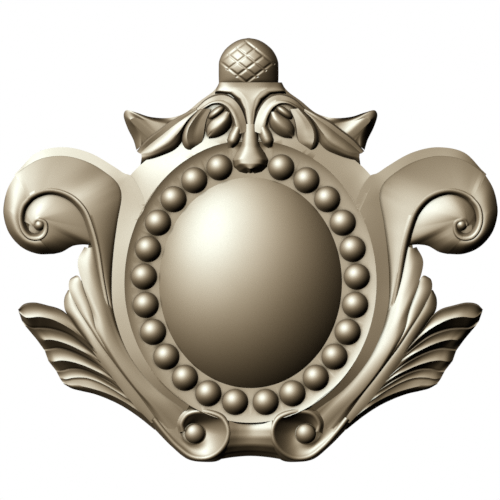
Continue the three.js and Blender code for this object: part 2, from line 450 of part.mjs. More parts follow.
function medallion() {
  const oval = (halfX, halfZ, lift, height) => (around) => new THREE.Vector3(
    Math.cos(around) * halfX, -height, Math.sin(around) * (halfZ + (Math.sin(around) > 0 ? lift : 0)));
  whole.push(heap([
    oval(bevelX, bevelZ, BEVEL_LIFT, bevelTop - BEVEL_HEIGHT), oval(bevelX - LAP, bevelZ - LAP, BEVEL_LIFT, bevelTop),
    oval(channelX, channelZ, BEVEL_LIFT, CHANNEL_FLOOR),
  ], new THREE.Vector3(0, -CHANNEL_FLOOR, 0), 44, -SPARE));
  const rise = DOME_RISE + DOME_SINK;
  const start = Math.asin(DOME_SINK / rise); // the turn at which the rounding leaves the channel floor
  const heart = new THREE.Vector3(0, DOME_SINK - CHANNEL_FLOOR, 0);
  whole.push(mound(heart, domeX / Math.cos(start), domeZ / Math.cos(start), rise,
    { segments: 30, levels: 6, floor: CHANNEL_FLOOR - BURIED, start }));
  const arc = [];
  const samples = 720;
  let run = 0;
  for (let k = 0; k <= samples; k++) {
    const a = Math.PI / 2 + Math.PI * k / samples;
    const p = new THREE.Vector3(Math.cos(a) * ringX, 0, Math.sin(a) * ringZ);
    if (k > 0) run += p.distanceTo(arc[k - 1].p);
    arc.push({ p, run });
  }
  const pitch = (run - BEAD_TOP_SPACE - BEAD_FOOT_SPACE) / (BEADS_PER_SIDE - 1);
  for (let b = 0; b < BEADS_PER_SIDE; b++) {
    const goal = BEAD_TOP_SPACE + pitch * b;
    const { p } = arc.find((step) => step.run >= goal);
    halves.push(mound(new THREE.Vector3(p.x, -CHANNEL_FLOOR - BEAD_SINK, p.z), BEAD / 2, BEAD / 2, BEAD / 2,
      { segments: 8, levels: 3, floor: CHANNEL_FLOOR - BURIED }));
  }
}

// A rail that runs beside another, to the left of its run and lower by drop, in millimetres
const beside = (line, offset, drop) => line.map(([c, r, h], k) => {
  const [a, b] = [line[Math.max(0, k - 1)], line[Math.min(line.length - 1, k + 1)]];
  const [dc, dr] = [b[0] - a[0], b[1] - a[1]];
  const reach = offset / SQUARE / Math.hypot(dc, dr);
  return [c + dr * reach, r - dc * reach, h - drop / RISE];
});

// Rounded cord along a line, with the steep side of the crease to its left
const cord = (line) => [
  line, beside(line, CORD_WIDTH / 2, -CORD_RISE), beside(line, CORD_WIDTH + CREASE_WIDTH, CORD_DROP)];

// A rail of the left half carried on, mirrored, over the right half
const mirrored = (rail) => [...rail, ...rail.slice(0, -1).reverse().map(([c, r, h]) => [2 * AXIS - c, r, h])];

function ground() {
  const flat = (points) => points.map(([column, row]) => [column, row, GROUND_HEIGHT / RISE]);
  const oval = GROUND_TURNS.map((turn) => bevelSpot(turn, GROUND_HEIGHT / RISE));
  halves.push(loft([flat(GROUND), oval], { steps: 10 }));
  const [column, row, halfX, halfZ] = VOLUTE_GROUND;
  const middle = spot([column, row, GROUND_HEIGHT / RISE]);
  const edge = (around) => new THREE.Vector3(
    middle.x + Math.cos(around) * halfX * SQUARE, middle.y, middle.z + Math.sin(around) * halfZ * SQUARE);
  halves.push(heap([edge], middle, 16, -SPARE));
}

function plate() {
  halves.push(loft([[...PLATE_TURNS.map((turn) => bevelSpot(turn)), ...STRIP], RIDGE], { steps: 19 }));
  halves.push(loft([THROAT_TURNS.map((turn) => bevelSpot(turn)), THROAT_TOP], { steps: 6 }));
}

function volute() {
  halves.push(loft([HOLLOW, ...cord(SPIRAL)], { steps: 16, across: 2, sag: [HOLLOW_SAG, 0, 0] }));
  halves.push(loft([TIP_EDGE, ...cord(TIP_SPIRAL)], { steps: 10, across: 2, sag: [TIP_SAG, 0, 0] }));
  halves.push(loft([SHELL_EDGE, ...cord(SHELL_SPIRAL)], { steps: 12, across: 2, sag: [SHELL_SAG, 0, 0] }));
  halves.push(roll(CORD_TAIL, { steps: 4, across: 2, drop: CORD_TAIL_DROP }));
  halves.push(mound(spot(POCKET), POCKET_SIZE / 2, POCKET_SIZE / 2, POCKET_RISE, { segments: 9, levels: 1 }));
  halves.push(mound(spot(EYE_SPOT), EYE_SIZE / 2, EYE_SIZE / 2, EYE_RISE * RISE, { segments: 9, levels: 2 }));
}

function wing() {
  halves.push(loft([STEM_RIGHT, STEM_RIDGE, STEM_CROWN, STEM_LEFT], { steps: 8, across: 2, sag: STEM_SAG }));
  for (const leaf of LEAVES) halves.push(loft(leaf, { steps: 7, across: 2, sag: [SMALL_LEAF_SAG] }));
  halves.push(loft(WING, { steps: 7, across: 2, sag: FEATHER_SAG }));
}

function scroll() {
  const lip = [beside(SCROLL_LIP, -LIP_WIDTH / 2, LIP_RISE), beside(SCROLL_LIP, 0, -LIP_RISE / 2),
    beside(SCROLL_LIP, LIP_WIDTH / 2, LIP_RISE)];
  halves.push(loft([SCROLL_FOOT, ...lip, SCROLL_EYE], { steps: 15, across: 2, sag: [0, 0, 0, BELL_SAG] }));
  const eye = spot(SCROLL_EYE_FLOOR);
  const hollow = SCROLL_HOLLOW_SIZE / 2;
  halves.push(mound(eye, hollow, hollow, SCROLL_HOLLOW_RISE, { segments: 8, levels: 1 }));
  const ball = SCROLL_EYE_SIZE / 2;
  halves.push(mound(eye, ball, ball, SCROLL_EYE_RISE * RISE, { segments: 10, levels: 3 }));
  whole.push(loft(SADDLE.map(mirrored), { steps: 6 }));
}

function finial() {
  const [rows, sides] = [[], 8];
  const middle = (FINIAL_AXIS - AXIS) * SQUARE;
  const curve = spline(FINIAL.map(([row, half, height]) =>
    new THREE.Vector3(half * SQUARE, -height * RISE, (CENTRE - row) * SQUARE)));
  const steps = 8;
  for (let i = 0; i <= steps; i++) {
    const p = curve.getPoint(i / steps);
    rows.push([...Array(sides + 1).keys()].map((j) => {
      const turn = Math.PI * j / sides;
      return new THREE.Vector3(middle - Math.cos(turn) * p.x, (p.y + EDGE) * Math.sin(turn) - EDGE, p.z);
    }));
  }
  return block(rows, -SPARE);
}

function crest() {
  halves.push(loft([CREST_OUTLINE, CREST_BROW, CREST_FLOOR], { steps: 14, across: 2, sag: [BROW_SAG, 0] }));
  whole.push(loft(CREST_BED.map(mirrored), { steps: 1 }));
  halves.push(loft(FRONT_LEAF, { steps: 6, across: 2, sag: LEAF_SAG }));
  halves.push(loft(ARCH, { steps: 8 }));
  halves.push(roll(DROP, { steps: 5, across: 4, drop: DROP_RISE }));
  halves.push(loft(SPOON, { steps: 6, across: 2, sag: SPOON_SAG }));
  halves.push(loft(BEAN, { steps: 4, across: 2, sag: BEAN_SAG }));
  halves.push(mound(spot(LOBE), LOBE_WIDTH / 2, LOBE_HEIGHT / 2, LOBE_RISE * RISE,
    { segments: 10, levels: 3, turn: LOBE_TURN }));
  const across = FUNNEL[0].map((_, k) => mirrored(FUNNEL.map((rail) => rail[k])));
  whole.push(loft(across, { steps: 6 }));
  whole.push(loft(PENDANT.map(mirrored), { steps: 6 }));
  whole.push(finial());
}

medallion();
ground();
plate();
volute();
wing();
scroll();
crest();

// The back is cut flat
const slab = new THREE.BoxGeometry(2 * WIDTH, 2 * SPARE, 2 * WIDTH).translate(0, SPARE, 0);
for (const name of ['normal', 'uv']) slab.deleteAttribute(name);
const corners = mergeVertices(slab);
const trim = new wasm.Manifold(new wasm.Mesh({
  numProp: 3, vertProperties: new Float32Array(corners.getAttribute('position').array),
  triVerts: new Uint32Array(corners.getIndex().array),
}));
const mirroredHalves = halves.map((half) => half.mirror([1, 0, 0]));
const body = wasm.Manifold.union([...whole, ...halves, ...mirroredHalves]).subtract(trim);

function toGeometry(manifold) {
  const { numProp, vertProperties, triVerts } = manifold.getMesh();
  const geometry = new THREE.BufferGeometry();
  const positions = new Float32Array(vertProperties.length / numProp * 3);
  for (let i = 0; i < positions.length / 3; i++) {
    for (let k = 0; k < 3; k++) positions[3 * i + k] = vertProperties[i * numProp + k];
  }
  geometry.setAttribute('position', new THREE.BufferAttribute(positions, 3));
  geometry.setIndex(new THREE.BufferAttribute(new Uint32Array(triVerts), 1));
  geometry.computeVertexNormals();
  return geometry;
}

const brass = new THREE.MeshStandardMaterial({
  name: 'antique_brass', color: 0x9d9176, metalness: 0.9, roughness: 0.38,
});
const cartouche = new THREE.Mesh(toGeometry(body), brass);
cartouche.name = 'cartouche';

const group = new THREE.Group();
group.name = 'cartouche_part';
group.add(cartouche);
export default group;
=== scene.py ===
import math

import bmesh
import bpy
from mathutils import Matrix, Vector


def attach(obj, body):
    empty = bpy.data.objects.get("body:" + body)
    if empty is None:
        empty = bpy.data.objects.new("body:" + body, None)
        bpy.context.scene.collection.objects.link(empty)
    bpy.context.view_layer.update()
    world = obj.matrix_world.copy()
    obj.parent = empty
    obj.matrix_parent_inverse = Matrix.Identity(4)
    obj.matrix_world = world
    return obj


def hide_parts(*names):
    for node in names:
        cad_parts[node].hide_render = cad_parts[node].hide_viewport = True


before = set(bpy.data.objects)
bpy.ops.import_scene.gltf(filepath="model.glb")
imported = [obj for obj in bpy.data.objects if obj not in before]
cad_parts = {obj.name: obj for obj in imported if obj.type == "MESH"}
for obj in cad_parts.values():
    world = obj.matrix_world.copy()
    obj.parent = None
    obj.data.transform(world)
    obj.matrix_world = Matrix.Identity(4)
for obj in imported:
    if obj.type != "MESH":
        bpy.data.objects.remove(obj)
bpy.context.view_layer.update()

MM = 0.001  # a millimetre in metres

# Overall sizes
WIDTH = 300  # over the two volutes
RELIEF = 20  # from the back to the plate's ridge; the crest, the beads and the dome stand higher
EDGE = 3.6  # thickness left along the outline
# The carving is free-form and is drawn on squared paper: a point is [column, row, height].
# Columns and rows are counted from the upper left corner, heights in twentieths of RELIEF.
SHEET_COLUMNS = 494.3  # squares across the full width
AXIS = 250.5  # column of the line of symmetry
CENTRE = 282.8  # row of the middle of the dome
SQUARE = WIDTH / SHEET_COLUMNS
RISE = RELIEF / 20
RIM = EDGE / RISE
# Medallion
DOME_WIDTH = 0.3702 * WIDTH
DOME_LENGTH = 0.4264 * WIDTH
DOME_RISE = 22.5  # above the floor of the channel
DOME_SINK = 29  # the middle of its rounding lies that much below the channel floor
BEAD = 0.0536 * WIDTH  # diameter of a bead
BEAD_SINK = 2.6  # a bead's middle above the floor of the channel
BEAD_GAP = 1.1  # between the dome and the beads
BEADS_PER_SIDE = 12
BEAD_TOP_SPACE = 0.0637 * WIDTH  # along the ring, from the axis to the first bead
BEAD_FOOT_SPACE = 0.0314 * WIDTH  # the same at the bottom
CHANNEL_FLOOR = 18.4  # above the back
BEVEL_WIDTH = 4.8
BEVEL_HEIGHT = 1.5  # top of the bevel above the channel floor
BEVEL_LIFT = 1.8  # the bevel's oval is that much longer towards the crest
LAP = 1  # how far neighbouring pieces reach into each other sideways
BURIED = 3  # how far parts that stand on others reach down into them
SPARE = 2  # every piece is made that much too deep, then the back is cut flat
WELD = 0.001  # corners closer than this become one
# Ground under the carving, seen only at the bottom of the creases
GROUND_HEIGHT = 3.4
GROUND_BULGE = 0.1  # the ground of the volute is that much fuller in the middle
GROUND = [[104, 188], [92, 222], [86, 262], [76, 300], [70, 326], [72, 352], [86, 372], [112, 386],
    [142, 412], [168, 434], [196, 452], [230, 450]]
# Its inner edge: places on the oval, in degrees
GROUND_TURNS = [140, 156, 166, 176, 186, 196, 206, 216, 226, 236, 246, 256]
VOLUTE_GROUND = [50, 204, 41, 43]  # middle column and row, half width and half height
PLATE_TURNS = [241, 224, 208, 193, 180.5, 167, 155, 147]  # the plate's inner edge on the oval, in degrees
THROAT_TURNS = [150, 134, 120, 104, 84]  # the same for the throat
# Outer edge of the plate beside the medallion, going on as the ridge inside the strip of the volute
RIDGE = [[186, 411, 18], [155, 387.5, 17.8], [128, 352.5, 18.2], [113.5, 310, 18.2], [111.8, 281, 17.9],
    [113.8, 250, 17.6], [117.5, 222, 17.5], [121.6, 196, 17.6], [119.4, 186.5, 17.4], [114.8, 180, 17],
    [106, 172.8, 16], [90, 163, 13.8], [65, 156, 10.8], [40, 159, 8.6], [20.6, 170.8, 6],
    [16.2, 175.6, 5]]
# Outer edge of the strip, from the neck to the left end
STRIP = [[131, 176, 17.6], [124, 173.2, 16.9], [114, 166.6, 15.8], [90, 153, 12.8], [64, 147.2, 9.6],
    [37, 152.4, 7], [19.4, 169.6, 5], [14.4, 174.4, 4.4]]
# Band of the volute: along the ridge, and the outer foot of the spiral cord
HOLLOW = [[114.6, 311, 11.4], [112.8, 281, 9.2], [114.8, 250, 7.8], [118.5, 222, 7.4],
    [122.4, 196, 8.2], [120, 185.5, 9.4], [115, 179, 10.4], [106, 171.8, 11], [90, 162, 11.6],
    [65, 155, 10.2], [40, 158, 8], [19.6, 169.6, 5.4], [14.8, 174.2, 4.6]]
SPIRAL = [[110.5, 310, 12.8], [105, 281, 12.4], [99.5, 247, 12.6], [94.5, 228, 12.8], [88, 211, 12.6],
    [81, 201.5, 12], [73, 194.8, 11], [62, 189.8, 10.2], [50.5, 188, 9.6], [40, 189.8, 9.2],
    [31, 194, 9], [26.5, 197.6, 9.2]]
HOLLOW_SAG = [0.6, 0.8, 0.6, 0.2, 0, -0.2, -0.3, -0.3, 0, 0.8]
# Second part: round the left end and under the eye
TIP_EDGE = [[16.8, 173, 4.8], [8, 188, RIM + 0.4], [4, 203, RIM], [3.5, 215, RIM], [9, 233, RIM],
    [22, 247.5, RIM], [38, 254, RIM], [54, 254, RIM]]
TIP_SPIRAL = [[27.3, 197, 9.1], [21, 204.6, 9.8], [18, 214, 10.2], [18.2, 224, 10.4], [22, 233.5, 10.6],
    [28, 239.3, 10.8], [34.5, 241, 11], [40, 240.5, 11.2]]
TIP_SAG = [0.8, 2.2, 2.4, 2.4]
# Third part: the shell inside the cord's first turn, and the cord's last turn round the eye
SHELL_EDGE = [[54, 254, RIM], [62, 252, RIM + 0.5], [73, 246, 5.2], [82, 244.6, 5.9], [97, 244, 7.4],
    [92.5, 228, 8.4], [81, 209.5, 8.2], [66, 197.5, 7], [50, 193.3, 6.2], [34, 198, 4.8],
    [24, 208, 4.2], [20.6, 219, 4.6]]
SHELL_SPIRAL = [[40, 240.5, 11.2], [44.5, 237.8, 11.4], [47.6, 233, 11.6], [48.5, 227, 11.8],
    [47.4, 222, 12], [44.6, 219.3, 12], [41, 218, 12], [38, 217.6, 11.8], [35, 219, 11.4],
    [33.2, 221.5, 11], [32.4, 224, 10.8], [32.6, 226, 10.6]]
SHELL_SAG = [1.6, 1.6, 1.2, 1, 1, 1.4, 1.6, 1.6, 1.2, 1]
CORD_WIDTH = 3
CORD_RISE = 0.9  # above the foot on its outer side
CORD_DROP = 4  # from its crown into the crease on its inner side
CREASE_WIDTH = 1.7
# Its section: places in half widths from its foot, and the share of the rise there
CORD_ARCH = [(0.5, 0.9), (1, 1), (1.6, 0.6)]
CORD_STEP = 0.2  # its inner edge lies that much below its foot
CORD_TAIL_DROP = 1.8  # from its crown to its foot
CORD_TAIL = [[122, 348, 16.4, 1.4], [113.5, 325, 14.6, 1.8], [109.8, 306, 13, 1.9]]
EYE_SIZE = 7.2
POCKET = [39.6, 228, 6]  # floor of the hollow round the eye
POCKET_SIZE = 13
POCKET_RISE = 0.4
EYE_RISE = 4.4
EYE_SPOT = [39.6, 225, 9]
# Throat between the plate and the crest
THROAT_TOP = [[127, 179, 17.5], [139.3, 166, 15.4], [160, 150, 13.8], [200, 126, 12.4], [260, 119, 12.6]]
# Stem between the volute and the leaves
STEM_RIGHT = [[99.5, 246, 8.4], [105.5, 275, 9.4], [111, 302, 11.6], [117.5, 326, 14], [127, 345, 15.2],
    [141, 365, 15.6], [159, 385.5, 15.6], [176, 400, 15.6], [192, 411, 15]]
STEM_RIDGE = [[93, 247, 9.8], [98.6, 275, 11.4], [105, 300, 13.4], [112.6, 324, 15.4],
    [121.6, 344.6, 16.4], [135.6, 365.6, 16.6], [153, 387.6, 16.2], [169, 402.6, 15.6], [185, 419, 13.8]]
STEM_CROWN = [[88, 248, 9.6], [88.6, 268, 12], [94.4, 296, 14.4], [102, 322, 17.2], [108, 344, 18.2],
    [121, 367, 17.8], [139, 391, 16.6], [155, 407.6, 15.4], [174, 429, 12.8]]
STEM_LEFT = [[84.4, 247, 7], [77.8, 261, 8.6], [82.6, 284, 12], [92.4, 313, 14.8], [97, 332, 16.4],
    [112.4, 359.6, 16.4], [131, 385, 15.4], [147, 404, 14.4], [163, 428, 12.4]]
STEM_SAG = [0.2, 0.4, 0.4]
# Two small leaves outside the stem, each by its two edges
SMALL_LEAF_SAG = [0.6, 1.2, 1, 0.6, 0.2]
LEAVES = [
    [[[75.4, 275.6, 6], [70, 279.4, 7], [69, 289, 8.8], [78, 308, 12], [87.4, 323.6, 14.6],
    [98.6, 342, 15.8], [117, 367.6, 15.2], [138, 394, 14.4], [157, 420, 12.6]],
    [[77.5, 275.4, 8], [80, 278, 9.6], [84, 290, 10.8], [91, 308, 13.2], [98, 330, 15.4],
    [110, 350, 16.4], [126, 372, 16], [144, 396, 15], [161, 421, 12.8]]],
    [[[68, 290, 5], [64.4, 298, 5.6], [65, 310, 7], [74, 323.4, 9.8], [84, 338, 12.6],
    [93, 351.6, 14.4], [110, 374.6, 14.4], [131, 401.4, 13.4], [151.4, 423, 11.6]],
    [[69.8, 290, 7], [72, 295.6, 8.6], [77, 307, 10.4], [85.6, 321.6, 13.2], [95, 335.4, 15],
    [106.4, 351, 15.6], [121, 371.6, 15.2], [141, 395.6, 13.8], [159, 421, 12]]],
]
# Wing of five overlapping feathers, its rails from the top edge to the outline below
WING = [
    [[18, 309.5, 8], [24, 304, 8], [34, 302.4, 9.5], [48, 305.4, 11], [60, 309, 12], [68, 315, 13],
    [78, 329, 14], [97, 352, 14]],
    [[18.5, 310, 11.6], [24.6, 305.6, 14.6], [34, 303.9, 16.4], [48, 306.9, 17], [60, 310.6, 17],
    [68.4, 316.6, 16.8], [78.6, 330, 16.4], [97.4, 352.6, 15.4]],
    [[18.8, 312, 10.4], [26, 317.4, 13.8], [39, 316.8, 15.8], [51, 319, 16.4], [63, 324.4, 16.6],
    [73, 330.6, 16.4], [82, 338, 16.2], [98, 354.5, 15]],
    [[22, 321, 5.4], [32, 327.4, 7], [39, 327.6, 8.4], [49.6, 328.2, 9.4], [61, 331, 10.6],
    [72.4, 336, 12.2], [84, 344.6, 13.6], [104, 362, 14]],
    [[25, 325.6, 7], [32.6, 329, 10.2], [40, 329.2, 11.8], [50, 330, 12.6], [61, 332.8, 13.4],
    [72, 337.6, 14.2], [84, 345.8, 14.8], [104, 362.6, 14.2]],
    [[36.6, 339.4, 6], [43, 340, 10], [50, 339.6, 11.2], [60, 341.6, 12.2], [70, 345.2, 13.2],
    [80, 350, 14], [89, 354.8, 14.6], [108, 368, 14.2]],
    [[44, 349.6, 4.6], [50.4, 348.6, 5.8], [57.6, 347.8, 6.6], [66.6, 349.4, 7.6], [78.4, 353.8, 9.4],
    [90, 359.8, 11.4], [102, 367.8, 13.2], [121, 385, 13]],
    [[44.8, 350.8, 5.6], [51, 350.4, 8.2], [58, 349.6, 9.4], [67, 351, 10.4], [78.4, 355.2, 11.6],
    [90, 361, 13], [102, 368.7, 13.6], [121, 385.6, 13.2]],
    [[48.4, 361, 5], [54, 361.4, 8], [61, 360.4, 9.2], [71, 361.6, 10.2], [84, 365.6, 11.4],
    [95, 370.4, 12.4], [105, 375.5, 13.2], [124, 389, 13]],
    [[56, 370.6, 4.2], [62.4, 370.4, 4.4], [69.6, 368.6, 5], [80.4, 368.8, 6.2], [92.4, 372.6, 8],
    [105, 379, 10.6], [118, 387.4, 12], [137, 402.5, 12]],
    [[56.6, 371.8, 5], [62.6, 372, 6.2], [70, 370.2, 7.2], [80.6, 370.4, 8.4], [92.4, 374, 9.8],
    [105, 380.2, 11.4], [118, 388.2, 12.4], [137, 403, 12.2]],
    [[60, 378.4, 4.6], [66, 379, 6.2], [74, 377.6, 7.2], [86, 377.8, 8.2], [98, 381.6, 9.6],
    [112, 388.8, 11], [128, 399.4, 12.2], [149.5, 417, 11]],
    [[60.8, 379.6, 4.4], [66.6, 380.6, 5.6], [74.6, 379.2, 6.6], [86.4, 379.6, 7.6], [98.4, 383.4, 9],
    [112.4, 390.2, 10.4], [128.4, 400.6, 11.6], [150, 418, 10.4]],
    [[63, 382.6, 4.6], [70, 385.4, 6], [80, 386, 7], [92, 388.6, 8], [106, 393, 9.2],
    [120, 399.4, 10.4], [135, 408.8, 11.4], [154, 423.6, 9.6]],
    [[64, 384.2, RIM], [72, 388.6, RIM], [82, 391.2, RIM], [94, 394, RIM], [108, 399.2, RIM],
    [122, 406, RIM], [137, 415.8, RIM], [155, 430, RIM]],
]
FEATHER_SAG = [0, -0.9, 0, 0, -0.7, 0, 0, -0.6, 0, 0, -0.4, 0, -0.1, 0.6]
# Lower scroll: foot of the lip, crown of the lip, and the line round the eye
SCROLL_FOOT = [[146, 419.5, RIM], [157, 431.6, RIM], [172, 446.8, RIM], [188, 459.3, RIM],
    [204, 462, RIM], [219, 460.4, 7], [231, 447, 15.5], [233.5, 431, 18], [228, 416, 17],
    [212, 408.6, 17], [197, 407.6, 16.6], [184, 411.5, 15.6], [177.3, 422, 14], [178.6, 434, 12.6]]
SCROLL_LIP = [[154, 418.5, 14], [164.5, 432, 13.8], [178, 446.8, 13.4], [192, 456.8, 13.6],
    [206, 458.2, 14.8], [218, 452.6, 17.4], [226.3, 442, 20], [228.3, 430, 21], [222.8, 418.6, 20.6],
    [211, 413, 20], [198, 411.6, 19], [187, 415.2, 17.4], [181.6, 424, 15.8], [183, 431.6, 14.6]]
SCROLL_EYE = [[176, 419, 14], [179, 430, 13], [183, 439, 12.4], [190, 444.3, 12], [198, 444.2, 11.8],
    [204, 440.2, 11.6], [206.2, 434.5, 11.4], [205.2, 429, 11.4], [201, 425, 11.6], [195, 423.2, 12],
    [189.6, 424.3, 12.6], [186, 427.3, 13.2], [184.4, 430, 13.8], [184.2, 432.4, 14]]
BELL_SAG = [0, -0.8, -1.2, -1.4, -1, -0.4, 0]
# Saddle between the two scrolls, the left half of each rail
SADDLE = [
    [[224, 415.8, 16], [236, 415.4, 14.8], [250.5, 415.3, 14]],
    [[229, 421, 20], [240, 421, 17.4], [250.5, 421, 16]],
    [[229.6, 429, 21], [240, 429, 18.8], [250.5, 429, 17.8]],
    [[229, 437, 20.6], [240, 437, 18.8], [250.5, 437, 18.1]],
    [[224, 447, 18.8], [238, 445.5, 17.4], [250.5, 445, 17]],
    [[215, 456.4, 13.4], [235, 452.2, 14], [250.5, 451.2, 13.6]],
    [[212, 460.8, RIM], [232, 457.4, RIM], [250.5, 456, RIM]],
]
LIP_WIDTH = 3
LIP_RISE = 0.7  # crown of the lip above its edges
# Its section: shares of the width and of the rise
LIP_ARCH = [(-0.5, -1), (-0.3, 0.1), (0, 0.5), (0.3, 0.1), (0.5, -1)]
SCROLL_EYE_FLOOR = [195, 433.6, 10.2]
SCROLL_EYE_SIZE = 12.4
SCROLL_EYE_RISE = 4.8
SCROLL_HOLLOW_SIZE = 15  # floor round the eye
SCROLL_HOLLOW_RISE = 0.9
# Crest: its rounded outer slope, the floor inside it and the forms that lie on the floor
CREST_OUTLINE = [[219, 84, 6], [213.5, 91, 8], [200, 101, 9.4], [185, 113, 11.4], [170, 117.8, 13.6],
    [150, 116.8, 14], [136, 112.4, 12], [126, 110.4, 8], [123.6, 115, 6], [127.5, 128, 5],
    [133.4, 140, 6], [136.4, 150, 7]]
CREST_BROW = [[234, 98, 16], [222, 106, 16], [207, 114, 16], [192, 121, 16], [175, 123.5, 13.6],
    [158, 123, 12.6], [146, 121, 13.2], [135, 117.8, 15], [130.6, 119.8, 14.8], [136.6, 128, 13.8],
    [141.6, 136, 12.6], [142.6, 145, 11]]
CREST_FLOOR = [[254, 138, 14], [240, 146, 14], [222, 142, 14], [200, 142, 13.6], [186, 142, 13.6],
    [176, 142, 13.4], [169, 142, 13], [163, 143, 12.6], [158, 145, 12.2], [154, 148, 11.4],
    [151, 151, 11], [148, 154, 10]]
BROW_SAG = [1.4, 1.4, 1.2, 0.4, -0.5, -0.4, 0.8, 1.8, 1.6, 1.6]
CREST_BED = [
    [[222, 85, 10], [250.5, 85, 10]],
    [[217, 93, 11], [250.5, 93, 11]],
    [[205, 103, 12.6], [250.5, 103, 12.6]],
    [[197, 125, 13], [250.5, 125, 13]],
    [[197, 150, 13], [250.5, 150, 13]],
]
FRONT_LEAF = [
    [[136.8, 151, 10], [146.4, 139.8, 13], [160.4, 128.8, 14.4], [171.4, 120.6, 15.2],
    [183, 114.4, 15.8], [196, 107.4, 15]],
    [[137.6, 152, 13.4], [147.4, 141.2, 15.8], [161.2, 130.4, 17], [172, 122.4, 17.8],
    [183.6, 116.2, 18], [196.4, 109, 16.4]],
    [[139.6, 153.4, 13.6], [150.6, 144, 15.2], [163.2, 134.2, 16.6], [174, 125.6, 17.6],
    [185, 117.8, 17.8], [196.8, 110, 16.4]],
    [[141.4, 154, 14.8], [150.4, 152.6, 17.6], [161.6, 147, 19.4], [171, 141, 20], [179, 131.8, 19.8],
    [187.6, 119.8, 19], [197, 111, 16.8]],
    [[141.6, 157.6, 15], [151.2, 156, 17.2], [163.4, 150.8, 18.4], [174.6, 144.6, 18.4],
    [181.6, 133.2, 18], [188.6, 121, 17.6], [197.4, 111.6, 16]],
    [[140.4, 165.4, 12], [151.4, 160.8, 13.4], [164.8, 156.6, 13.8], [177, 151, 14], [182.8, 143, 13.4],
    [185, 131, 13], [190, 121, 13], [198, 112, 13.4]],
]
LEAF_SAG = [0, 0, [0.2, 0.8, 0.8, 0.3, 0], 0, 0.3]
ARCH = [
    [[196, 108, 13], [205, 99.6, 13.2], [212.8, 95.2, 13.4], [222.4, 93.4, 13.6], [232.4, 96.4, 14],
    [239.6, 103.4, 14.4], [244.4, 112, 15], [247, 121, 16], [248.4, 131, 18.6]],
    [[196.4, 109, 15.4], [205.6, 100.8, 17.6], [213.4, 96.8, 18.6], [222.4, 95.2, 19],
    [231.4, 98, 19.2], [238.2, 104.6, 19.6], [242.8, 112.8, 20], [245.6, 121.6, 20.6],
    [247.4, 131, 21.2]],
    [[197, 111, 15.8], [205, 105, 17.8], [213, 101, 18.8], [222, 100.2, 19.2], [229, 103, 19.8],
    [234, 109, 20.6], [237.5, 116, 21.2], [240.5, 124, 21.8], [242.5, 133, 22]],
    [[197.5, 112.4, 16.4], [205.4, 107, 18.8], [213, 103.2, 20], [221, 103.2, 20.4], [227.4, 107, 20.8],
    [231.4, 112.6, 21.2], [234.4, 119, 21.8], [236.2, 127, 22.2], [238, 134, 22]],
    [[198, 114, 14], [206, 109.4, 14], [213, 105.6, 14], [219.6, 105.6, 14], [225, 109.4, 14],
    [229, 114.6, 14.4], [232, 121, 15], [234, 128, 16], [236, 135, 17]],
]
DROP = [[239.6, 120, 20.6, 3.4], [238, 128, 22.6, 5], [235, 136, 24, 6.4], [232.6, 142, 24, 6],
    [230.6, 147.4, 21, 3]]
DROP_RISE = 5.4
SPOON = [
    [[198, 108.6, 14], [189, 119, 14.6], [183.6, 129, 15], [182, 140, 15], [184, 148.6, 14.6],
    [189.4, 152.8, 14]],
    [[199, 109.6, 16.6], [190.4, 120, 18.8], [185.2, 129.6, 19.6], [183.6, 139.8, 19.4],
    [185.8, 147.4, 18.4], [190, 151.8, 16.4]],
    [[203, 108.4, 18.8], [193.6, 119.8, 20.8], [188.2, 129.4, 21.4], [187, 138.6, 21.2],
    [188.8, 144.8, 20.4], [191, 150.4, 17.8]],
    [[207, 109, 18], [199, 120, 19.2], [195.4, 129.8, 19.4], [194.4, 137.4, 19.4], [194, 143.8, 19],
    [192.4, 150, 17.4]],
    [[211, 109, 17.6], [206.4, 119, 18.4], [204.4, 128, 18.6], [203.2, 137, 18], [200.4, 145.4, 17],
    [194, 151, 15.6]],
    [[212, 110.4, 13], [208, 119.4, 13], [206, 129, 13.4], [205, 140.4, 13.8], [201.6, 148.4, 14],
    [194.6, 152.8, 14]],
]
BEAN = [
    [[205.8, 136, 13], [206, 128, 13.4], [210, 120.6, 13.4], [217, 115.4, 13.6], [224.6, 110, 14]],
    [[207, 135.6, 17.4], [207.4, 128.4, 18.4], [211.2, 121.8, 19.4], [217.8, 116.8, 19.6],
    [225, 111.4, 18.6]],
    [[208.4, 135.6, 18.6], [213, 130.4, 21.6], [219.6, 125.4, 22.8], [225.4, 119, 22.4],
    [229, 112, 19.6]],
    [[208.8, 138.6, 17.4], [217.6, 137, 18.4], [226, 131.6, 18.6], [231, 122.6, 18.4],
    [231.2, 113, 17.4]],
    [[208.8, 140.6, 12.6], [218, 139.6, 12.6], [227.4, 133.4, 13], [232.8, 123.4, 13.4],
    [232.6, 113, 13.6]],
]
SPOON_SAG = [0, 0.3, 0, 0, 0]
BEAN_SAG = [0, 0.7, 0.9, 0]
LOBE = [216.6, 112.4, 15.4]  # middle of the small lobe above the bean
LOBE_WIDTH = 12.4
LOBE_HEIGHT = 5.4
LOBE_RISE = 5
LOBE_TURN = 0.66
